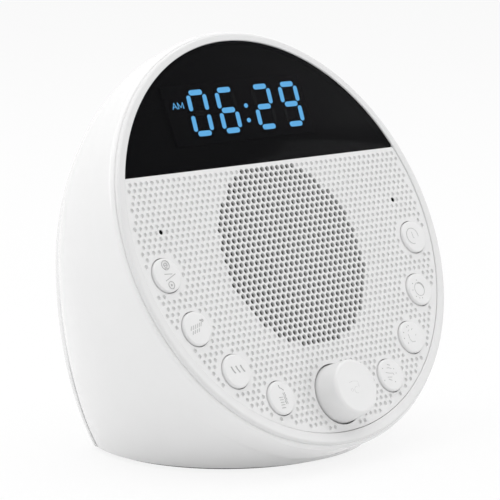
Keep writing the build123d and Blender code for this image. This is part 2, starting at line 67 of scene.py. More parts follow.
class Wire:
    # a node's output that can be used in plain sums

    def __init__(self, finish, socket):
        self.finish = finish
        self.socket = socket

    def calc(self, operation, other):
        return self.finish.node("ShaderNodeMath", {"operation": operation}, {0: self, 1: other})

    def __add__(self, other):
        return self.calc("ADD", other)

    def __mul__(self, other):
        return self.calc("MULTIPLY", other)

    __radd__ = __add__
    __rmul__ = __mul__


class Finish:
    # one material, or the world, its nodes made by one method

    def __init__(self, name, owner=None):
        self.owner = owner or bpy.data.materials.new(name)
        self.owner.use_nodes = True
        self.tree = self.owner.node_tree
        self.tree.nodes.clear()

    def node(self, kind, settings, values, output=0):
        made = self.tree.nodes.new(kind)
        for name, setting in settings.items():
            if name == "stops":
                self.setStops(made.color_ramp, setting)
            else:
                setattr(made, name, setting)
        for name, value in values.items():
            if isinstance(value, Wire):
                self.tree.links.new(value.socket, made.inputs[name])
            else:
                made.inputs[name].default_value = value
        return Wire(self, made.outputs[output]) if made.outputs else made

    def setStops(self, ramp, stops):
        while len(ramp.elements) < len(stops):
            ramp.elements.new(0.5)
        for element, (place, shade) in zip(ramp.elements, stops):
            element.position = place
            element.color = (*shade, 1) if isinstance(shade, tuple) else (shade, shade, shade, 1)

    def place(self, scale=(1, 1, 1), turn=(0, 0, 0)):
        # Object coordinates in millimetres, stretched and turned for a pattern
        where = self.node("ShaderNodeTexCoord", {}, {}, "Object")
        size = tuple(s / mm for s in scale)
        return self.node("ShaderNodeMapping", {}, {"Vector": where, "Rotation": turn, "Scale": size})

    def noise(self, where, scale, detail=2.0):
        return self.node("ShaderNodeTexNoise", {}, {"Vector": where, "Scale": scale, "Detail": detail})

    def ramp(self, value, stops):
        return self.node("ShaderNodeValToRGB", {"stops": stops}, {"Fac": value})

    def bump(self, height, strength, depth=0.1):
        values = {"Height": height, "Strength": strength, "Distance": depth * mm}
        return self.node("ShaderNodeBump", {}, values)

    def mix(self, factor, first, second):
        return self.node("ShaderNodeMixShader", {}, {0: factor, 1: first, 2: second})

    def shown(self):
        # 1 for the rays that see the backdrop, 0 for the light that falls on the piece
        rays = [self.node("ShaderNodeLightPath", {}, {}, f"Is {kind} Ray") for kind in backdropRays]
        straight, reflected, through = rays
        return straight.calc("MAXIMUM", reflected).calc("MAXIMUM", through)

    def close(self, shader, kind="ShaderNodeOutputMaterial"):
        self.node(kind, {}, {"Surface": shader})
        return self.owner


def tinted(colour, change):
    return tuple(max(0.0, min(1.0, c * change)) for c in colour)


# moulded plastic: a near flat colour, its gloss a little uneven, and a fine grain
def plastic(name, look):
    finish = Finish(name)
    where = finish.place()
    cloud = finish.noise(where, 1 / look["cloud"])
    grain = finish.noise(where, 1 / look["grain"], 3.0)
    spread = look.get("spread", 0.015)
    stops = [(0.35, tinted(look["colour"], 1 - spread)), (0.65, tinted(look["colour"], 1 + spread))]
    shader = {
        "Base Color": finish.ramp(cloud, stops),
        "Roughness": cloud * look["uneven"] + (look["rough"] - look["uneven"] / 2),
        "Normal": finish.bump(grain, look["bump"], look["grain"] / 2),
        "IOR": look.get("ior", 1.49),
        "Coat Weight": look.get("coat", 0.0),
        "Coat Roughness": look.get("coatRough", 0.05),
    }
    if "alpha" in look:
        shader["Alpha"] = look["alpha"]
    return finish.close(finish.node("ShaderNodeBsdfPrincipled", {}, shader))


# bare metal: cloudy in colour, its gloss finely broken
def steel(name, look):
    finish = Finish(name)
    where = finish.place(scale=look.get("stretch", (1, 1, 1)))
    cloud = finish.noise(where, 1 / look["cloud"], 3.0)
    fine = finish.noise(where, 1 / look["grain"], 2.0)
    stops = [(0.3, tinted(look["colour"], 0.85)), (0.7, tinted(look["colour"], 1.1))]
    shader = {
        "Base Color": finish.ramp(cloud, stops),
        "Metallic": 1.0,
        "Roughness": fine * 0.15 + look["rough"],
        "Normal": finish.bump(fine, 0.2, 0.02),
    }
    return finish.close(finish.node("ShaderNodeBsdfPrincipled", {}, shader))


# woven cloth behind the perforation: two crossing waves
def cloth(name, look):
    finish = Finish(name)
    where = finish.place(turn=(lean["tilt"] - pi / 2, 0, 0))
    waves = []
    for direction in ("X", "Y"):
        settings = {"wave_type": "BANDS", "bands_direction": direction}
        values = {"Vector": where, "Scale": look["threads"], "Distortion": 0.3}
        waves.append(finish.node("ShaderNodeTexWave", settings, values, 1))
    weave = waves[0] * waves[1]
    shader = {
        "Base Color": finish.ramp(weave, [(0.0, look["dark"]), (1.0, look["light"])]),
        "Roughness": 0.85,
        "Normal": finish.bump(weave, 0.6, 0.1),
    }
    return finish.close(finish.node("ShaderNodeBsdfPrincipled", {}, shader))


# green solder mask over faint tracks
def circuitBoard(name, look):
    finish = Finish(name)
    where = finish.place()
    values = {"Vector": where, "Scale": look["tracks"]}
    tracks = finish.node("ShaderNodeTexBrick", {"offset": 0.5}, values, 1)
    cloud = finish.noise(where, 0.3)
    shader = {
        "Base Color": finish.ramp(tracks * 0.8 + cloud * 0.2, [(0.1, look["mask"]), (0.8, look["track"])]),
        "Roughness": cloud * 0.1 + 0.3,
        "Normal": finish.bump(tracks, 0.3, 0.05),
    }
    return finish.close(finish.node("ShaderNodeBsdfPrincipled", {}, shader))


# lit bars: an even light with faint spots
def glow(name, look):
    finish = Finish(name)
    spots = finish.noise(finish.place(), 1 / look["spots"])
    low, high = tinted(look["colour"], 0.96), tinted(look["colour"], 1.04)
    colour = finish.ramp(spots, [(0.3, low), (0.7, high)])
    shader = {
        "Base Color": (0.01, 0.02, 0.03, 1),
        "Roughness": spots * 0.1 + 0.35,
        "Emission Color": colour,
        "Emission Strength": look["strength"],
    }
    return finish.close(finish.node("ShaderNodeBsdfPrincipled", {}, shader))


finishes = {
    "shell": plastic("polishedWhite", {
        "colour": (0.86, 0.86, 0.86), "rough": 0.16, "uneven": 0.03, "cloud": 25, "grain": 4, "bump": 0.012,
        "spread": 0.006, "coat": 0.3, "coatRough": 0.06,
    }),
    # the rim is the shell's white plastic made a darker grey: painted shade that stands in for the shade falling on
    # its left and lower side
    "bezel": plastic("rimWithPaintedShade", {
        "colour": (0.77, 0.77, 0.77), "rough": 0.25, "uneven": 0.03, "cloud": 18, "grain": 3, "bump": 0.01,
        "spread": 0.006,
    }),
    "plate": plastic("satinPlate", {
        "colour": (0.8, 0.8, 0.8), "rough": 0.5, "uneven": 0.06, "cloud": 12, "grain": 0.15, "bump": 0.05,
        "spread": 0.008,
    }),
    "button": plastic("satinButton", {
        "colour": (0.81, 0.81, 0.81), "rough": 0.38, "uneven": 0.05, "cloud": 6, "grain": 0.12, "bump": 0.04,
        "spread": 0.008,
    }),
    "knob": plastic("knobWhite", {
        "colour": (0.81, 0.81, 0.81), "rough": 0.34, "uneven": 0.05, "cloud": 6, "grain": 0.12, "bump": 0.03,
        "spread": 0.008,
    }),
    "ink": plastic("greyPrint", {
        "colour": (0.47, 0.47, 0.47), "rough": 0.45, "uneven": 0.05, "cloud": 2, "grain": 0.1, "bump": 0.05,
    }),
    "lens": plastic("smokedLens", {
        "colour": (0.004, 0.004, 0.005), "rough": 0.07, "uneven": 0.02, "cloud": 30, "grain": 6, "bump": 0.006,
        "alpha": 0.55, "ior": 1.14,
    }),
    "darkBars": plastic("unlitBars", {
        "colour": (0.012, 0.013, 0.015), "rough": 0.4, "uneven": 0.1, "cloud": 3, "grain": 0.2, "bump": 0.05,
        "spread": 0.1,
    }),
    "mask": plastic("blackPrint", {
        "colour": (0.003, 0.003, 0.003), "rough": 0.6, "uneven": 0.05, "cloud": 9, "grain": 0.3, "bump": 0.05,
        "ior": 1.1,
    }),
    "rubber": plastic("footRubber", {
        "colour": (0.045, 0.045, 0.047), "rough": 0.75, "uneven": 0.1, "cloud": 5, "grain": 0.4, "bump": 0.3,
        "spread": 0.1,
    }),
    "greyPlastic": plastic("basePlastic", {
        "colour": (0.55, 0.55, 0.56), "rough": 0.5, "uneven": 0.1, "cloud": 9, "grain": 0.3, "bump": 0.1,
        "spread": 0.03,
    }),
    "blackPlastic": plastic("blackMoulding", {
        "colour": (0.025, 0.025, 0.026), "rough": 0.45, "uneven": 0.1, "cloud": 4, "grain": 0.3, "bump": 0.1,
        "spread": 0.1,
    }),
    "clear": plastic("sensorLens", {
        "colour": (0.7, 0.73, 0.76), "rough": 0.1, "uneven": 0.04, "cloud": 1, "grain": 0.3, "bump": 0.02,
    }),
    "paper": plastic("pressedPaper", {
        "colour": (0.03, 0.03, 0.03), "rough": 0.85, "uneven": 0.1, "cloud": 3, "grain": 0.5, "bump": 0.5,
        "spread": 0.2,
    }),
    "ribbon": plastic("ribbonFilm", {
        "colour": (0.72, 0.72, 0.69), "rough": 0.3, "uneven": 0.1, "cloud": 3, "grain": 1.0, "bump": 0.1,
        "spread": 0.05,
    }),
    "redWire": plastic("wireJacket", {
        "colour": (0.35, 0.02, 0.02), "rough": 0.4, "uneven": 0.1, "cloud": 3, "grain": 0.5, "bump": 0.1,
        "spread": 0.1,
    }),
    "zinc": steel("zincPlate", {"colour": (0.55, 0.55, 0.56), "rough": 0.28, "cloud": 2.0, "grain": 0.2}),
    "darkSteel": steel("darkSteel", {"colour": (0.2, 0.2, 0.21), "rough": 0.35, "cloud": 5.0, "grain": 0.3}),
    "nickel": steel("nickelPlate", {"colour": (0.66, 0.63, 0.57), "rough": 0.2, "cloud": 2.0, "grain": 0.2}),
    "copper": steel("copperWire", {
        "colour": (0.72, 0.38, 0.2), "rough": 0.3, "cloud": 2.0, "grain": 0.15, "stretch": (1, 1, 8),
    }),
    "ferrite": steel("ferrite", {"colour": (0.09, 0.09, 0.095), "rough": 0.5, "cloud": 3.0, "grain": 0.3}),
    "cloth": cloth("blackWeave", {"threads": 1.6, "dark": (0.004, 0.004, 0.004), "light": (0.03, 0.03, 0.03)}),
    "board": circuitBoard("solderMask", {"tracks": 0.3, "mask": (0.01, 0.1, 0.04), "track": (0.02, 0.2, 0.08)}),
    "digits": glow("blueLight", {"colour": (0.118, 0.405, 0.74), "strength": 5.0, "spots": 1.5}),
}
print("finishes made:", len(finishes))


# shapes that several pieces are made from
def edgesOf(verts):
    return list({edge for vert in verts for edge in vert.link_edges})


def lathe(points, steps=128, closed=True):
    # points are radius and height; a profile that ends on the axis is left open
    bm = bmesh.new()
    line = [bm.verts.new((radius, 0, height)) for radius, height in points]
    pairs = list(zip(line, line[1:])) + ([(line[-1], line[0])] if closed else [])
    edges = [bm.edges.new(pair) for pair in pairs]
    turning = {"axis": (0, 0, 1), "cent": (0, 0, 0), "angle": 2 * pi, "steps": steps}
    bmesh.ops.spin(bm, geom=line + edges, use_merge=True, **turning)
    bmesh.ops.remove_doubles(bm, verts=bm.verts, dist=1e-4)
    bmesh.ops.recalc_face_normals(bm, faces=bm.faces)
    return bm


def soften(bm, width, segments, wanted):
    # rounds the edges that a test picks
    edges = [edge for edge in bm.edges if wanted(edge)]
    bmesh.ops.bevel(
        bm, geom=edges, offset=width, offset_type="OFFSET", segments=segments, profile=0.5,
        affect="EDGES", material=-1, clamp_overlap=True,
    )


def sharp(edge, angle):
    return len(edge.link_faces) == 2 and edge.calc_face_angle() > radians(angle)


def ringAt(edge, height, radius=None):
    # true for an edge of the level ring at that height, and at that radius if one is given
    a, b = (vert.co for vert in edge.verts)
    near = abs(a.z - height) < 1e-3 and abs(b.z - height) < 1e-3
    return near and (radius is None or abs(a.to_2d().length - radius) < 1e-2)


def joined(*parts):
    whole = bmesh.new()
    for part in parts:
        mesh = bpy.data.meshes.new("part")
        part.to_mesh(mesh)
        part.free()
        whole.from_mesh(mesh)
        bpy.data.meshes.remove(mesh)
    return whole


def moved(bm, where):
    bmesh.ops.transform(bm, matrix=where, verts=bm.verts)
    return bm


def shifted(bm, x, y, z=0):
    return moved(bm, Matrix.Translation((x, y, z)))


def cylinder(radius, low, high, segments=48):
    bm = bmesh.new()
    middle = Matrix.Translation((0, 0, (low + high) / 2))
    sizes = {"radius1": radius, "radius2": radius, "depth": high - low}
    bmesh.ops.create_cone(bm, cap_ends=True, segments=segments, matrix=middle, **sizes)
    return bm


def pill(long, wide, low, high, segments=24):
    # an upright bar with round ends, long in x
    bm = cylinder(wide / 2, low, high, segments)
    reach = (long - wide) / 2
    for side in (-1, 1):
        half = [vert for vert in bm.verts if vert.co.x * side > 1e-6]
        bmesh.ops.translate(bm, vec=(side * reach, 0, 0), verts=half)
    return bm


def bar(size, middle):
    bm = bmesh.new()
    bmesh.ops.create_cube(bm, size=1, matrix=Matrix.Translation(middle) @ Matrix.Diagonal((*size, 1)))
    return bm


def sliced(bm, point, away):
    # cuts off the side that the arrow points to, and gives the edges of the cut
    everything = list(bm.verts) + list(bm.edges) + list(bm.faces)
    plane = {"plane_co": point, "plane_no": away}
    cut = bmesh.ops.bisect_plane(bm, geom=everything, dist=1e-5, clear_outer=True, **plane)
    return [item for item in cut["geom_cut"] if isinstance(item, bmesh.types.BMEdge)]


def looseObject(bm, name="loose"):
    mesh = bpy.data.meshes.new(name)
    bm.to_mesh(mesh)
    bm.free()
    thing = bpy.data.objects.new(name, mesh)
    scene.collection.objects.link(thing)
    return thing


def meshOf(thing):
    # the finished mesh of an object, which is then removed
    bpy.context.view_layer.update()
    ready = thing.evaluated_get(bpy.context.evaluated_depsgraph_get())
    bm = bmesh.new()
    mesh = bpy.data.meshes.new_from_object(ready)
    bm.from_mesh(mesh)
    bpy.data.meshes.remove(mesh)
    old = thing.data
    bpy.data.objects.remove(thing)
    (bpy.data.meshes if isinstance(old, bpy.types.Mesh) else bpy.data.curves).remove(old)
    return bm


def carve(bm, tool, operation="DIFFERENCE", solver="EXACT"):
    body, cutter = looseObject(bm), looseObject(tool)
    change = body.modifiers.new("carve", "BOOLEAN")
    change.operation = operation
    change.solver = solver
    change.object = cutter
    result = meshOf(body)
    old = cutter.data
    bpy.data.objects.remove(cutter)
    bpy.data.meshes.remove(old)
    return result


def makePiece(name, bm, where, finish, body, nodes, crease=32):
    bmesh.ops.transform(bm, matrix=Matrix.Scale(mm, 4) @ where, verts=bm.verts)
    mesh = bpy.data.meshes.new(name)
    bm.to_mesh(mesh)
    bm.free()
    mesh.shade_smooth()
    mesh.set_sharp_from_angle(angle=radians(crease))
    mesh.materials.append(finishes[finish])
    piece = bpy.data.objects.new(name, mesh)
    scene.collection.objects.link(piece)
    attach(piece, body)
    if nodes:
        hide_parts(*nodes)
    return piece


# the housing: a leaning drum, a body that fans out to the upright seam, and a domed rear cover
housing = {
    "rim": 61.0, "drop": 0.45, "wall": 2.2, "drumFront": -1.0, "drumMiddle": -6.0, "drumEnd": -10.0,
    "drumRear": -10.5, "frontEdge": 1.2,
    "seamY": 28.5, "seamHalf": 48.0, "seamUp": 55.0, "seamDown": 76.2, "seamWidest": 73.2,
    "taper": 2.5, "widthPower": 3.0, "topPower": 1.27, "swell": 24.0, "coverDepth": 13.5,
    "foot": 1.0, "groove": 0.3, "around": 256, "ballRows": 96, "fanSteps": 28, "edgeSteps": 8,
}
drumFace = face @ Matrix.Translation((0, -housing["drop"], 0))  # drum and rim sit a little low
drumMiddle = drumFace @ Vector((0, 0, housing["drumRear"]))
hingeReach = (housing["seamY"] - drumMiddle.y) / sin(lean["tilt"])
hinge = drumMiddle + hingeReach * (face.to_3x3() @ Vector((0, 1, 0)))
widestZ = hinge.z - housing["seamWidest"]


def ovalRing(bm, half, up, down, where):
    ring = bmesh.ops.create_circle(bm, radius=1, segments=housing["around"])["verts"]
    bmesh.ops.scale(bm, vec=(half, up, 1), verts=[vert for vert in ring if vert.co.y >= 0])
    bmesh.ops.scale(bm, vec=(half, down, 1), verts=[vert for vert in ring if vert.co.y < 0])
    bmesh.ops.transform(bm, matrix=where, verts=ring)
    return edgesOf(ring)


def fanRing(bm, turn, inset=0.0, shift=0.0):
    # turn 0 is the drum's rear circle and 1 the upright oval of the seam
    cfg, rim, lower = housing, housing["rim"], housing["rim"] + housing["swell"]
    half = rim - cfg["taper"] * turn
    half -= (rim - cfg["taper"] - cfg["seamHalf"]) * turn ** cfg["widthPower"]
    up = rim - (rim - cfg["seamUp"]) * turn ** cfg["topPower"]
    down = rim + cfg["swell"] * turn + (cfg["seamDown"] - lower) * turn**2
    reach = hingeReach + (housing["seamWidest"] - hingeReach) * turn
    angle = lean["tilt"] * (1 - turn)
    s, c = sin(angle), cos(angle)
    x, y, z = hinge - reach * Vector((0, s, c))
    where = Matrix(((1, 0, 0, x), (0, s, -c, y + shift), (0, c, s, z), (0, 0, 0, 1)))
    return ovalRing(bm, half - inset, up - inset, down - inset, where)


def bridged(bm, rings):
    for first, second in zip(rings, rings[1:]):
        bmesh.ops.bridge_loops(bm, edges=first + second)


def cutFoot(bm):
    # takes away what is below the foot and closes the cut
    rims = sliced(bm, (0, 0, housing["foot"]), (0, 0, -1))
    bmesh.ops.triangle_fill(bm, use_beauty=True, edges=rims, normal=(0, 0, -1))
    bmesh.ops.recalc_face_normals(bm, faces=bm.faces)


def quarterRound(radius, steps):
    # distances from the corner along both sides, for points of a rounding
    angles = [pi / 2 * step / steps for step in range(steps + 1)]
    return [(radius * (1 - sin(angle)), radius * (1 - cos(angle))) for angle in angles]


def mainShell():
    cfg = housing
    bm = bmesh.new()

    def drumRing(inset, depth):
        radius = cfg["rim"] - inset
        return ovalRing(bm, radius, radius, radius, drumFace @ Matrix.Translation((0, 0, depth)))

    wall, steps, groove, front = cfg["wall"], cfg["fanSteps"], cfg["groove"], cfg["drumFront"]
    rings = [drumRing(wall, front)]
    rings += [drumRing(inset, front - sunk) for inset, sunk in quarterRound(cfg["frontEdge"], cfg["edgeSteps"])]
    rings += [drumRing(0, depth) for depth in (cfg["drumMiddle"], cfg["drumEnd"])]
    rings += [fanRing(bm, step / steps) for step in range(steps)]
    rings += [fanRing(bm, 1, inset, shift) for inset, shift in ((0, -groove), (groove, 0))]
    rings += [fanRing(bm, step / steps, wall) for step in reversed(range(steps + 1))]
    bridged(bm, [*rings, rings[0]])
    bmesh.ops.recalc_face_normals(bm, faces=bm.faces)
    cutFoot(bm)
    return makePiece("mainShell", bm, level, "shell", "housing", ["main_shell"])


def domeSolid(inset):
    # closed half of an oval ball behind the seam
    bm = bmesh.new()
    upright = Matrix.Rotation(pi / 2, 4, "X")
    around, rows = housing["around"], housing["ballRows"]
    bmesh.ops.create_uvsphere(bm, u_segments=around, v_segments=rows, radius=1, matrix=upright)
    bmesh.ops.edgeloop_fill(bm, edges=sliced(bm, (0, 0, 0), (0, -1, 0)))
    wide, deep = housing["seamHalf"] - inset, housing["coverDepth"] - inset
    upper = [vert for vert in bm.verts if vert.co.z >= 0]
    lower = [vert for vert in bm.verts if vert.co.z < 0]
    bmesh.ops.scale(bm, vec=(wide, deep, housing["seamUp"] - inset), verts=upper)
    bmesh.ops.scale(bm, vec=(wide, deep, housing["seamDown"] - inset), verts=lower)
    bmesh.ops.recalc_face_normals(bm, faces=bm.faces)
    return shifted(bm, 0, housing["seamY"], widestZ)


def alongY(bm, x, z):
    # a piece drawn upright is laid with its top towards the rear
    return moved(bm, Matrix.Translation((x, 0, z)) @ Matrix.Rotation(-pi / 2, 4, "X"))


rearScrews = {
    "x": 34.0, "z": (78.0, 20.0), "seat": 30.7, "bore": 3.1, "tube": 4.4, "head": 2.8, "headHigh": 1.8,
    "headEdge": 0.7, "shaft": 1.3, "shaftEnd": 20.3,
    "crossWide": 0.75, "crossLong": 3.2, "crossDeep": 1.1, "crossTurn": 0.5,
}
powerInlet = {"z": 24.0, "wide": 9.6, "high": 3.9, "front": 32.0}
# the hollow behind the seam is opened by a flat bar, the mouth
coverInside = {"tubeFront": 5.0, "mouth": (90, 2, 120), "mouthBack": 0.9, "mouthZ": 54}


def screwPlaces():
    return [(side * rearScrews["x"], z) for side in (-1, 1) for z in rearScrews["z"]]


def rearCover():
    outer, groove, seam = domeSolid(0), housing["groove"], housing["seamY"]
    soften(outer, groove, 2, lambda edge: all(abs(vert.co.y - seam) < 1e-3 for vert in edge.verts))
    far = seam + 2 * housing["coverDepth"]
    core = domeSolid(housing["wall"])
    for x, z in screwPlaces():
        core = carve(core, alongY(cylinder(rearScrews["tube"], seam - coverInside["tubeFront"], far), x, z))
    mouth = bar(coverInside["mouth"], (0, seam - coverInside["mouthBack"], coverInside["mouthZ"]))
    bm = carve(outer, carve(core, mouth, "UNION"))
    cuts = [alongY(cylinder(rearScrews["bore"], rearScrews["seat"], far), x, z) for x, z in screwPlaces()]
    inlet = pill(powerInlet["wide"], powerInlet["high"], powerInlet["front"], far, 48)
    cuts.append(alongY(inlet, 0, powerInlet["z"]))
    bm = carve(bm, joined(*cuts))
    cutFoot(bm)
    return makePiece("rearCover", bm, level, "shell", "housing", ["rear_cover"], 25)


def screwSet():
    parts = []
    cfg = rearScrews
    for x, z in screwPlaces():
        top = cfg["seat"] + cfg["headHigh"]
        head = cylinder(cfg["head"], cfg["seat"], top, 40)
        soften(head, cfg["headEdge"], 4, lambda edge: ringAt(edge, top))
        for turn in (0, pi / 2):
            size = (cfg["crossLong"], cfg["crossWide"], 2 * cfg["crossDeep"])
            cross = moved(bar(size, (0, 0, top)), Matrix.Rotation(turn + cfg["crossTurn"] + x, 4, "Z"))
            head = carve(head, cross)
        parts.append(alongY(head, x, z))
        parts.append(alongY(cylinder(cfg["shaft"], cfg["shaftEnd"], cfg["seat"], 24), x, z))
    makePiece("rearScrews", joined(*parts), level, "zinc", "housing", ["rear_screws"])


mainShell()
rearCover()
screwSet()
print("housing made")


# the front: rim, plate and lens; heights are along the face's own z
front = {
    "glass": 57.1, "chord": 21.0, "gap": 0.15, "thick": 2.2, "round": 1.0,
    "lens": 2.1, "bore": 57.25, "boreEdge": 0.3, "ledge": 55.6, "spigot": 58.7, "spigotRear": -6.0,
    "bead": 59.95, "beadTop": 0.4, "beadRear": -0.95, "beadEdge": 0.8, "edgeSteps": 6, "lensEdge": 0.12,
}
# the bar across the rim, behind the edge between plate and lens, cut clear of the loudspeaker
bridge = {"inset": 6.0, "deep": 7.0, "thick": 3.8, "y": 23.5, "z": -4.1, "clear": 29.4, "clearLow": -9}


def bezel():
    cfg = front
    bore, bead, top, steps = cfg["bore"], cfg["bead"], cfg["beadTop"], cfg["edgeSteps"]
    profile = [(bore, -cfg["thick"])]
    profile += [(bore + x, top - z) for z, x in quarterRound(cfg["boreEdge"], steps)]
    profile += [(bead - x, top - z) for x, z in quarterRound(cfg["beadEdge"], steps)]
    profile += [(bead, cfg["beadRear"]), (cfg["spigot"], cfg["beadRear"]), (cfg["spigot"], cfg["spigotRear"])]
    profile += [(cfg["ledge"], cfg["spigotRear"]), (cfg["ledge"], -cfg["thick"])]
    bm = lathe(profile, 256)
    outer = [vert for vert in bm.verts if vert.co.to_2d().length > cfg["spigot"] - 0.1]
    bmesh.ops.translate(bm, vec=(0, -housing["drop"], 0), verts=outer)
    size = (2 * (cfg["ledge"] - bridge["inset"]), bridge["deep"], bridge["thick"])
    back = bar(size, (0, bridge["y"], bridge["z"]))
    back = carve(back, shifted(cylinder(bridge["clear"], bridge["clearLow"], 0, 96), 0, grid["fieldY"]))
    return makePiece("bezel", joined(bm, back), face, "bezel", "housing", ["front_bezel"], 40)


# the perforation: a hexagonal grid, open over the loudspeaker and blind elsewhere
grid = {
    "pitch": 2.0, "startY": -8.55, "field": 26.8, "fieldY": -5.7, "reach": 55.9, "topGap": 1.3,
    "keyGap": 5.9, "knobGap": 9.6, "pinGap": 1.4, "openR": 0.76, "dimpleR": 0.65, "dimpleFloorR": 0.5,
    "dimpleDeep": 0.6, "fieldThick": 0.9, "fieldEdge": 1.2, "sides": 12, "lines": (-30, 20), "columns": (-45, 46),
    "cutLow": -5, "cutHigh": 2, "coneHigh": 0.2,
}
keys = {
    "circle": 49.7, "first": -7.5, "step": -18.73, "count": 4, "hole": 4.95, "cap": 4.7, "proud": 0.9,
    "crown": 0.12, "shoulder": 0.09, "edge": 0.6, "flange": 5.5, "flangeTop": -2.4, "flangeLow": -3.2,
    "stem": 2.2, "stemLow": -4.6,
}
knob = {
    "y": -46.6, "hole": 8.7, "foot": -1.5, "r": 8.4, "topR": 7.8, "top": 7.6, "edge": 1.0, "footEdge": 0.25,
    "skirt": 6.7, "hollow": 5.8, "hub": 4.3, "hubLow": 1.6, "bore": 3.0, "boreTop": 5.5,
}
pins = {"x": 46.2, "y": 5.4, "r": 0.7, "bootR": 0.68, "bootLow": -2.1, "bootTop": -0.25}


def keyPlaces():
    places = []
    for side, sign in (("right", 1), ("left", -1)):
        for number in range(keys["count"]):
            angle = radians(keys["first"] + keys["step"] * number)
            x, y = keys["circle"] * cos(angle), keys["circle"] * sin(angle)
            places.append((f"{side}_{number + 1}", sign * x, y))
    return places


def gridSites():
    # every site of the grid on the plate, and whether its hole goes through
    pitch, row = grid["pitch"], grid["pitch"] * sin(radians(60))
    kept = [(x, y, grid["keyGap"]) for _, x, y in keyPlaces()]
    kept += [(0, knob["y"], grid["knobGap"])]
    kept += [(side * pins["x"], pins["y"], grid["pinGap"]) for side in (-1, 1)]
    sites = []
    for line in range(*grid["lines"]):
        y = grid["startY"] + row * line
        for column in range(*grid["columns"]):
            x = pitch * (column + (line % 2) / 2)
            inside = x * x + y * y < grid["reach"] ** 2 and y < front["chord"] - grid["topGap"]
            if inside and all((x - a) ** 2 + (y - b) ** 2 > gap**2 for a, b, gap in kept):
                opened = x * x + (y - grid["fieldY"]) ** 2 < grid["field"] ** 2
                sites.append((x, y, opened))
    return sites


def cutDisc(bm, height, above):
    # keeps the part of a disc above or below a level line
    sliced(bm, (0, height, 0), (0, -1, 0) if above else (0, 1, 0))


def thickened(bm, thick):
    raised = bmesh.ops.extrude_face_region(bm, geom=list(bm.faces))
    lower = [item for item in raised["geom"] if isinstance(item, bmesh.types.BMVert)]
    bmesh.ops.translate(bm, vec=(0, 0, -thick), verts=lower)
    bmesh.ops.recalc_face_normals(bm, faces=bm.faces)


def grillePlate():
    cfg = grid
    bm = bmesh.new()
    bmesh.ops.create_circle(bm, cap_ends=True, radius=front["glass"], segments=256)
    cutDisc(bm, front["chord"], above=False)
    thickened(bm, front["thick"])
    holes, above = bmesh.new(), cfg["coneHigh"]
    for x, y, opened in gridSites():
        low = -front["thick"] - 1 if opened else -cfg["dimpleDeep"]
        top = cfg["openR"] if opened else cfg["dimpleR"]
        floor = cfg["openR"] if opened else cfg["dimpleFloorR"]
        slope = 0 if opened else (top - floor) / cfg["dimpleDeep"]
        where = Matrix.Translation((x, y, (low + above) / 2))
        sizes = {"radius1": floor, "radius2": top + slope * above, "depth": above - low}
        bmesh.ops.create_cone(holes, cap_ends=True, segments=cfg["sides"], matrix=where, **sizes)
    reach = (cfg["cutLow"], cfg["cutHigh"])
    wide = [shifted(cylinder(keys["hole"], *reach, 64), x, y) for _, x, y in keyPlaces()]
    wide.append(shifted(cylinder(knob["hole"], *reach, 96), 0, knob["y"]))
    wide += [shifted(cylinder(pins["r"], *reach, 32), side * pins["x"], pins["y"]) for side in (-1, 1)]
    pocket = cylinder(cfg["field"] + cfg["fieldEdge"], cfg["cutLow"], -cfg["fieldThick"], 128)
    bm = carve(bm, shifted(pocket, 0, cfg["fieldY"]), solver="MANIFOLD")
    bm = carve(bm, joined(holes, *wide), solver="MANIFOLD")
    return makePiece("grillePlate", bm, face, "plate", "housing", ["grille_plate"], 25)


def pinBootsPaintedShade():
    # black rubber boots round the microphone and the light sensor, just under the plate's front; their near black,
    # unglossy print finish is painted shade that makes the two pin holes dark
    size = (pins["bootR"], pins["bootLow"], pins["bootTop"], 24)
    boots = [shifted(cylinder(*size), side * pins["x"], pins["y"]) for side in (-1, 1)]
    return makePiece("pinBootsPaintedShade", joined(*boots), face, "mask", "housing", [])


bezel()
grillePlate()
pinBootsPaintedShade()
print("rim and plate made:", len(gridSites()), "grid sites")


# the display behind the smoked lens
display = {
    "x": (-29.4, 24.6), "y": (28.6, 46.0), "front": -1.42, "lightFront": -1.14, "pocket": -1.1, "digits": "0629",
    "digitX": (-17.4, -6.4, 7.85, 18.8), "digitY": 37.5, "wide": 6.1, "high": 11.9, "slant": 0.093,
    "level": (4.85, 1.5), "upright": (4.5, 1.3), "dot": 0.62, "colon": ((0.85, 38.3), (0.2, 34.0)),
    "halfAt": (-27.0, 39.15), "halfHigh": 1.8, "halfLine": 0.12, "pocketGap": 0.2, "windowDeep": 3,
}
printing = {"thin": 0.04, "front": -0.15, "rear": -2.19, "inside": -2.12, "windowGap": 0.15}


# bars that are lit: top, middle, bottom, upper left (L), lower left (l), upper right (U), lower right (u)
litBars = {"0": "tbLlUu", "2": "tmbUl", "6": "tmbLlu", "9": "tmbLUu"}
allBars = "tmbLlUu"


def digitBars(x, shown):
    cfg = display
    low, high = cfg["front"], cfg["lightFront"]
    wide, tall = cfg["wide"] / 2, cfg["high"] / 2
    levelBars = {"b": (0, -tall), "m": (0, 0), "t": (0, tall)}
    uprights = {"L": (-wide, tall / 2), "l": (-wide, -tall / 2), "U": (wide, tall / 2), "u": (wide, -tall / 2)}
    bars = []
    for mark, (across, up) in {**levelBars, **uprights}.items():
        if mark not in shown:
            continue
        shape = pill(*cfg["level" if mark in levelBars else "upright"], low, high)
        if mark in uprights:
            moved(shape, Matrix.Rotation(pi / 2 - cfg["slant"], 4, "Z"))
        bars.append(shifted(shape, x + across + cfg["slant"] * up, cfg["digitY"] + up))
    return bars


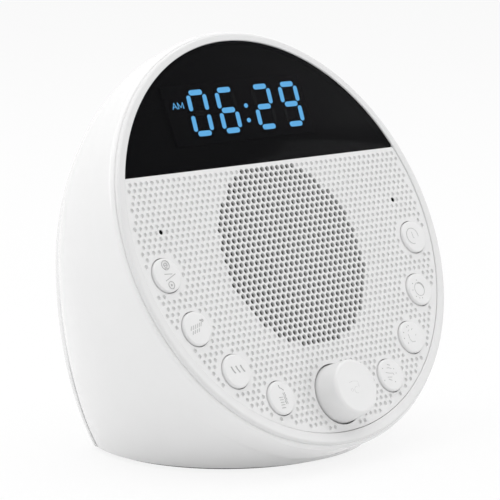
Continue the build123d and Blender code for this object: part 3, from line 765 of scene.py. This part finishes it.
def strokes(lines, thick, height, detail=1):
    # fine round lines drawn on a level surface
    drawing = bpy.data.curves.new("strokes", "CURVE")
    drawing.dimensions = "3D"
    drawing.bevel_depth = thick
    drawing.bevel_resolution = detail
    drawing.use_fill_caps = True
    for points in lines:
        first, last = (Vector(points[end]) for end in (0, -1))
        closed = (first - last).length < 1e-6
        kept = points[:-1] if closed else points
        spline = drawing.splines.new("POLY")
        spline.points.add(len(kept) - 1)
        for point, (x, y) in zip(spline.points, kept):
            point.co = (x, y, height, 1)
        spline.use_cyclic_u = closed
    thing = bpy.data.objects.new("strokes", drawing)
    scene.collection.objects.link(thing)
    return meshOf(thing)


def halfDayMark():
    cfg, high = display, display["halfHigh"]
    letters = [
        [(0, 0), (0.85, high), (1.7, 0)], [(0.33, 0.65), (1.37, 0.65)],
        [(2.2, 0), (2.2, high), (3.15, 0.35), (4.1, high), (4.1, 0)],
    ]
    mark = strokes(letters, cfg["halfLine"], 0, 2)
    x, y = cfg["halfAt"]
    return shifted(mark, x, y, cfg["lightFront"] - cfg["halfLine"])


def segmentSolid(radius, chord, top, bottom):
    # the part of a disc above a chord, its two corners rounded
    bm = bmesh.new()
    bmesh.ops.create_circle(bm, cap_ends=True, radius=radius, segments=256)
    cutDisc(bm, chord, above=True)
    corners = [vert for vert in bm.verts if abs(vert.co.y - chord) < 1e-4]
    rounding = {"offset": front["round"], "segments": 8, "profile": 0.5, "affect": "VERTICES", "material": -1}
    bmesh.ops.bevel(bm, geom=corners, **rounding)
    thickened(bm, top - bottom)
    return shifted(bm, 0, 0, top)


def windowBar(gap, middle):
    # cuts the display's window, a gap larger all round
    (left, right), (low, high) = display["x"], display["y"]
    size = (right - left + 2 * gap, high - low + 2 * gap, display["windowDeep"])
    return bar(size, ((left + right) / 2, (low + high) / 2, middle))


def lens():
    cfg = front
    bm = segmentSolid(cfg["glass"], cfg["chord"] + cfg["gap"], 0, -cfg["lens"])
    soften(bm, cfg["lensEdge"], 2, lambda edge: sharp(edge, 60) and ringAt(edge, 0))
    bm = carve(bm, windowBar(display["pocketGap"], display["pocket"] - display["windowDeep"] / 2))
    return makePiece("displayLens", bm, face, "lens", "housing", ["display_lens"])


def blackMask():
    # black print round the lens's rim and over its back, open at the display
    cfg, glass, chord = printing, front["glass"], front["chord"] + front["gap"]
    thin = cfg["thin"]
    outer = segmentSolid(glass + 2 * thin, chord - 2 * thin, cfg["front"], cfg["rear"])
    inner = segmentSolid(glass + thin / 2, chord - thin / 2, 1, cfg["inside"])
    bm = carve(carve(outer, inner), windowBar(cfg["windowGap"], -front["thick"]))
    return makePiece("lensPrint", bm, face, "mask", "housing", [])


def displayLights():
    lit, unlit = [], []
    for x, digit in zip(display["digitX"], display["digits"]):
        shown = litBars[digit]
        lit += digitBars(x, shown)
        unlit += digitBars(x, [mark for mark in allBars if mark not in shown])
    for x, y in display["colon"]:
        dot = cylinder(display["dot"], display["front"], display["lightFront"], 24)
        lit.append(shifted(dot, x, y))
    lit.append(halfDayMark())
    makePiece("litBars", joined(*lit), face, "digits", "housing", ["led_segments"])
    makePiece("unlitBars", joined(*unlit), face, "darkBars", "housing", ["led_segments"])


lens()
blackMask()
displayLights()
print("display made")


# the marks on the buttons and the knob, drawn as fine lines
def arcLine(x, y, radius, start=0, end=360, count=20):
    angles = [radians(start + (end - start) * step / count) for step in range(count + 1)]
    return [(x + radius * cos(a), y + radius * sin(a)) for a in angles]


def waveLine(x, y, long, high=0.25, waves=2):
    count = 6 * waves
    return [(x + high * sin(2 * pi * waves * s / count), y + long * (s / count - 0.5)) for s in range(count + 1)]


def dots(*places):
    return [arcLine(x, y, 0.08, count=8) for x, y in places]


icons = {
    "left_1": [
        arcLine(0.1, 2.65, 1.3), arcLine(0.1, 2.65, 0.6), [(-0.4, 2.6), (0.7, 2.6)], [(-0.7, 1.7), (0.9, 1.7)],
        [(-1.2, 0.25), (1.5, 0.05)], [(-1.4, -1.6), (2.6, -0.05)], arcLine(0.2, -2.9, 1.0), arcLine(0.2, -2.9, 0.2),
    ],
    "left_2": [[(x - 0.3, 0.1 + 0.2 * x), (x + 0.3, 1.2 + 0.2 * x)] for x in (-2.4, -1.6, -0.8, 0.0, 0.8, 1.5)]
    + [[(x - 0.4, -1.1 + 0.2 * x), (x + 0.1, -0.2 + 0.2 * x)] for x in (-2.0, -1.2, -0.4, 0.4)]
    + [arcLine(2.3, 1.9, 0.3), arcLine(1.6, 2.0, 0.15)],
    "left_3": [
        [(x + shift, 1.4), (x + shift + 0.25, 0.5), (x + shift + 0.9, -0.6)]
        for x in (-1.95, -0.25, 1.5) for shift in (-0.12, 0.12)
    ],
    "left_4": [[(-0.3, 3.5), (-0.1, 2.7), (0.5, 2.4), (1.1, 1.8)]]
    + [[(-1.3, y), (0.0, y - 0.05)] for y in (0.1, -0.6, -1.3, -2.0, -2.8)]
    + [waveLine(x, -0.4, 3.2, 0.12, 3) for x in (0.6, 1.15)],
    "right_1": [arcLine(-0.85, 0.2, 2.35, -10, 275), [(-0.8, 1.4), (-0.75, -0.3), (-0.35, -0.45)]],
    "right_2": [arcLine(-0.4, -0.05, 1.95), arcLine(-0.45, -0.1, 1.8, 0, 95), arcLine(-0.4, 0, 2.05, 10, 85)]
    + dots((-3.2, 0), (-2.5, 1.9), (-0.5, 2.7), (-2.6, -2), (-1.4, -2.6), (-0.3, -2.7)),
    "right_3": [
        [(-1.5, 0.9), (-1.4, -0.6), (-0.8, -1.5), (0.6, -1.5)], [(-1.3, 1.7), (-0.6, 2.1)],
        [(0.3, 1.9), (0.8, 2.3)], [(1.3, 0.1), (1.6, 0.5)],
    ] + dots((-3.1, 1.6), (-3.5, -0.1), (-2.5, -1.6), (-1.2, 3.0), (-0.4, 3.3)),
    "right_4": [
        [(-0.7, 3.1), (0.3, 2.7)], [(-1.3, 2.1), (-0.4, 2.05), (0.5, 1.7)],
        [(-2.2, 0.9), (-1.3, 0.65), (-0.4, 0.45), (0.5, 0.35), (0.8, -0.2)], [(-2.0, -0.5), (-0.2, -0.7)],
        [(-1.8, -1.1), (-0.6, -1.6)],
    ] + dots((-3.5, -1.2), (1.4, 1.5), (0.5, -2.2), (-2.9, 2.2), (1.8, 0.2)),
    "knob": [
        [(-2.6, 1.3), (-1.2, 1.6), (0.8, 1.3), (0.7, -0.4)], arcLine(-2.2, -0.8, 0.4),
        arcLine(-0.4, -1.0, 0.9, 60, 300),
    ],
}
inkLine = {"left": 0.13, "right": 0.1, "knob": 0.05, "rise": 0.1, "sink": 0.03}  # half widths, and its height


def button(name, x, y):
    cfg = keys
    cap, proud, flange, stem = cfg["cap"], cfg["proud"], cfg["flange"], cfg["stem"]
    profile = [
        (0, proud + cfg["crown"]), (cap / 2, proud + cfg["shoulder"]), (cap, proud), (cap, cfg["flangeTop"]),
        (flange, cfg["flangeTop"]), (flange, cfg["flangeLow"]), (stem, cfg["flangeLow"]),
        (stem, cfg["stemLow"]), (0, cfg["stemLow"]),
    ]
    bm = lathe(profile, 72, closed=False)
    soften(bm, cfg["edge"], 5, lambda edge: ringAt(edge, proud, cap))
    body = f"key_{name}"
    makePiece(f"button_{name}", bm, onFace(x, y), "button", body, [f"button_{name}"])
    mark = strokes(icons[name], inkLine[name.split("_")[0]], proud + inkLine["rise"] - inkLine["sink"])
    makePiece(f"mark_{name}", mark, onFace(x, y), "ink", body, [])


def turningKnob():
    cfg = knob
    profile = [
        (0, cfg["top"]), (cfg["topR"], cfg["top"]), (cfg["r"], cfg["foot"]), (cfg["skirt"], cfg["foot"]),
        (cfg["skirt"], cfg["hollow"]), (cfg["hub"], cfg["hollow"]), (cfg["hub"], cfg["hubLow"]),
        (cfg["bore"], cfg["hubLow"]), (cfg["bore"], cfg["boreTop"]), (0, cfg["boreTop"]),
    ]
    bm = lathe(profile, 128, closed=False)
    soften(bm, cfg["edge"], 6, lambda edge: ringAt(edge, cfg["top"], cfg["topR"]))
    soften(bm, cfg["footEdge"], 2, lambda edge: ringAt(edge, cfg["foot"], cfg["r"]))
    where = onFace(0, cfg["y"])
    makePiece("turningKnob", bm, where, "knob", "knob", ["volume_knob"])
    mark = strokes(icons["knob"], inkLine["knob"], cfg["top"] - inkLine["sink"])
    makePiece("mark_knob", mark, where, "ink", "knob", [])


for keyName, keyX, keyY in keyPlaces():
    button(keyName, keyX, keyY)
turningKnob()
print("buttons and knob made")


# finishes of the nodes that stay as the frame gives them
nodeFinishes = {
    "rubber": ["foot_pad", "speaker_gasket", "speaker_surround"],
    "greyPlastic": ["base_plate"],
    "zinc": ["base_screws", "board_screws", "speaker_screws", "main_board_screws", "usb_socket", "coin_cell"],
    "nickel": ["encoder_shaft"],
    "blackPlastic": [
        "encoder_body", "encoder_plunger", "tact_switches", "microphone", "board_components",
        "usb_tongue", "cell_holder",
    ] + [f"plunger_{name}" for name, _, _ in keyPlaces()],
    "mask": ["led_display"],
    "clear": ["light_sensor"],
    "board": ["key_board", "display_board", "main_board"],
    "darkSteel": ["speaker_frame", "motor_plates"],
    "ferrite": ["speaker_magnet"],
    "paper": ["speaker_cone", "dust_cap", "speaker_spider"],
    "copper": ["voice_coil"],
    "cloth": ["grille_cloth"],
    "redWire": ["speaker_leads"],
    "ribbon": ["display_ribbon", "main_ribbon"],
}
for finishName, nodeNames in nodeFinishes.items():
    for nodeName in nodeNames:
        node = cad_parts[nodeName]
        for place in node.material_slots:
            place.material = finishes[finishName]
print("frame nodes finished")


# pale floor, soft lamps and the camera; lengths are in metres here
studio = {
    "floor": 6.0, "floorShade": 0.86, "floorWhite": 0.85, "worldShade": 0.68, "aim": (0, 0, 0.06),
    "lamps": {
        "above": {"at": (0.0, 0.0, 1.25), "size": 1.7, "power": 8.4},
        "rear": {"at": (-0.81, 0.81, 0.8), "size": 1.0, "power": 3.3},
        "front": {"at": (0.9, -1.0, 0.34), "size": 0.6, "power": 1.5},
    },
}


def paleFloor():
    bm = bmesh.new()
    bmesh.ops.create_grid(bm, x_segments=1, y_segments=1, size=studio["floor"] / 2)
    floor = looseObject(bm, "floor")
    finish = Finish("floorPaper")
    spots = finish.noise(finish.place(), 0.05)
    shade = studio["floorShade"]
    paper = finish.node("ShaderNodeBsdfPrincipled", {}, {
        "Base Color": finish.ramp(spots, [(0.3, shade - 0.004), (0.7, shade)]), "Roughness": 0.9,
    })
    white = finish.node("ShaderNodeEmission", {}, {"Color": (1, 1, 1, 1), "Strength": 1.0})
    floor.data.materials.append(finish.close(finish.mix(finish.shown() * studio["floorWhite"], paper, white)))


def paleWorld():
    scene.world = bpy.data.worlds.new("studio")
    finish = Finish("studio", scene.world)
    shades = (studio["worldShade"], 1.0)
    plain, white = (finish.node("ShaderNodeBackground", {}, {"Color": (s, s, s, 1)}) for s in shades)
    finish.close(finish.mix(finish.shown(), plain, white), "ShaderNodeOutputWorld")


def lamp(name, cfg):
    light = bpy.data.lights.new(name, "AREA")
    light.shape = "DISK"
    light.size = cfg["size"]
    light.energy = cfg["power"]
    holder = bpy.data.objects.new(name, light)
    scene.collection.objects.link(holder)
    place = Vector(cfg["at"])
    holder.location = place
    holder.rotation_euler = (Vector(studio["aim"]) - place).to_track_quat("-Z", "Y").to_euler()


cameraView = {"at": (-0.54113, -0.53048, 0.17105), "heading": 45.454, "down": 8.613, "lens": 196.95}


def camera():
    cfg = cameraView
    view = bpy.data.cameras.new("view")
    view.sensor_width = 36
    view.lens = cfg["lens"]
    holder = bpy.data.objects.new("view", view)
    scene.collection.objects.link(holder)
    holder.location = cfg["at"]
    holder.rotation_euler = (radians(90 - cfg["down"]), 0, radians(-cfg["heading"]))
    scene.camera = holder


camera()
paleFloor()
paleWorld()
for lampName, settings in studio["lamps"].items():
    lamp(lampName, settings)
scene.view_settings.view_transform = "Standard"
print("studio made")
